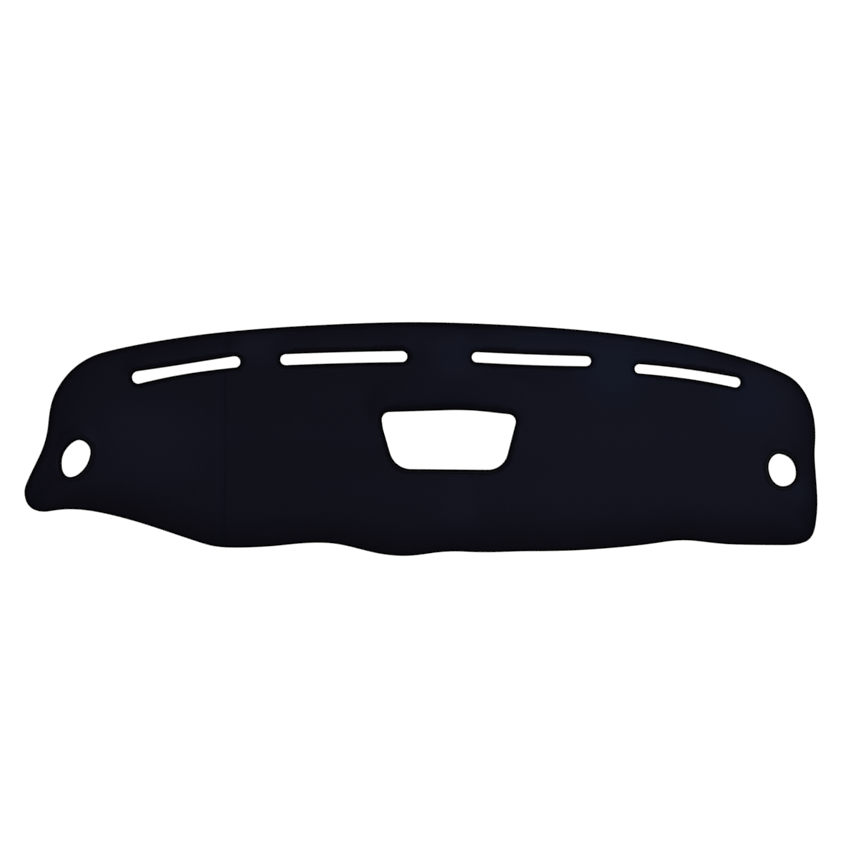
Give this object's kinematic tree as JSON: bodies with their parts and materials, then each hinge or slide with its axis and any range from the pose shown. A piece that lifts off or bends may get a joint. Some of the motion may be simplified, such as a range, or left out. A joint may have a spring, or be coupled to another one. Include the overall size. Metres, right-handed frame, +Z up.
{
  "type": "dashboard cover mat",
  "caption": "Soft one-piece fabric cover for a car dashboard top, with a bound edge, vent slots along the windscreen side, a centre cut-out and an oval at each end.",
  "frame": {"origin": "centre of the mat's plan at the level of the surface it lies on", "axes": "+X along the mat's width to the right as seen from the seats, +Y toward the windscreen, +Z up out of the fabric face"},
  "size_m": [1.45, 0.4275, 0.0135],
  "materials": {
    "fabric": "short matt pile, near-black navy, with a black overlocked edge"
  },
  "bodies": {
    "root": {"mat": "fabric"}
  },
  "joints": []
}
